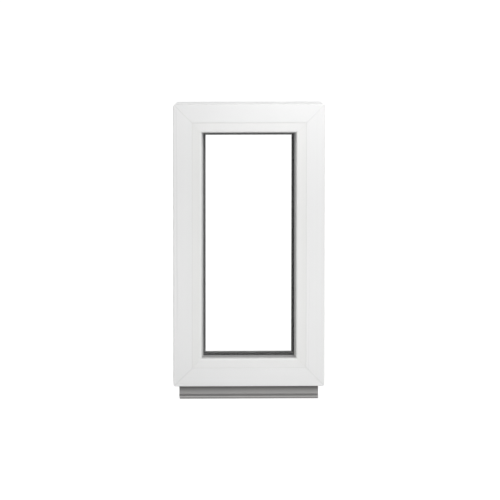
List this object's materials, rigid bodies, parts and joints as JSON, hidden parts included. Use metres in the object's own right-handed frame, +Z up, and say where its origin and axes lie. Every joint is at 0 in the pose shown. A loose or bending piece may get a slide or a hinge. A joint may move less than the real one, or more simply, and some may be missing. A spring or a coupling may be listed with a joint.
{
  "type": "fixed basement window",
  "caption": "Fixed basement window: welded white plastic frame, clip-in glazing beads, double glazed unit, grey sill profile under it.",
  "frame": {"origin": "middle of the sill profile's underside, on the centre plane of the frame's depth", "axes": "+X across the window, to the right seen from the room; +Y from the room to the open air; +Z up"},
  "size_m": [0.37, 0.074, 0.727],
  "materials": {
    "upvc_white": "smooth extruded white plastic, slight gloss",
    "sill_grey": "grey recycled plastic, satin with fine drawing lines",
    "gasket_grey": "soft grey gasket, satin",
    "gasket_black": "soft black gasket, matt",
    "glass_clear": "clear float glass",
    "spacer_grey": "mill finish bent spacer",
    "edge_sealant": "matt sealant",
    "block_plastic": "moulded plastic packers"
  },
  "bodies": {
    "root": {"frame_bottom_rail": "upvc_white", "frame_head": "upvc_white", "frame_left_jamb": "upvc_white", "frame_right_jamb": "upvc_white", "glazing_bead_bottom": "upvc_white", "glazing_bead_top": "upvc_white", "glazing_bead_left": "upvc_white", "glazing_bead_right": "upvc_white", "bead_gasket_bottom": "gasket_grey", "bead_gasket_top": "gasket_grey", "bead_gasket_left": "gasket_grey", "bead_gasket_right": "gasket_grey", "outer_gasket_bottom": "gasket_black", "outer_gasket_top": "gasket_black", "outer_gasket_left": "gasket_black", "outer_gasket_right": "gasket_black", "spacer_bar_bottom": "spacer_grey", "spacer_bar_top": "spacer_grey", "spacer_bar_left": "spacer_grey", "spacer_bar_right": "spacer_grey", "edge_seal_bottom": "edge_sealant", "edge_seal_top": "edge_sealant", "edge_seal_left": "edge_sealant", "edge_seal_right": "edge_sealant", "glazing_blocks_bottom": "block_plastic", "glazing_blocks_top": "block_plastic", "glazing_blocks_left": "block_plastic", "glazing_blocks_right": "block_plastic", "glass_pane_room_side": "glass_clear", "glass_pane_outer": "glass_clear", "drain_cap_left": "upvc_white", "drain_cap_right": "upvc_white", "sill_profile": "sill_grey"}
  },
  "joints": []
}
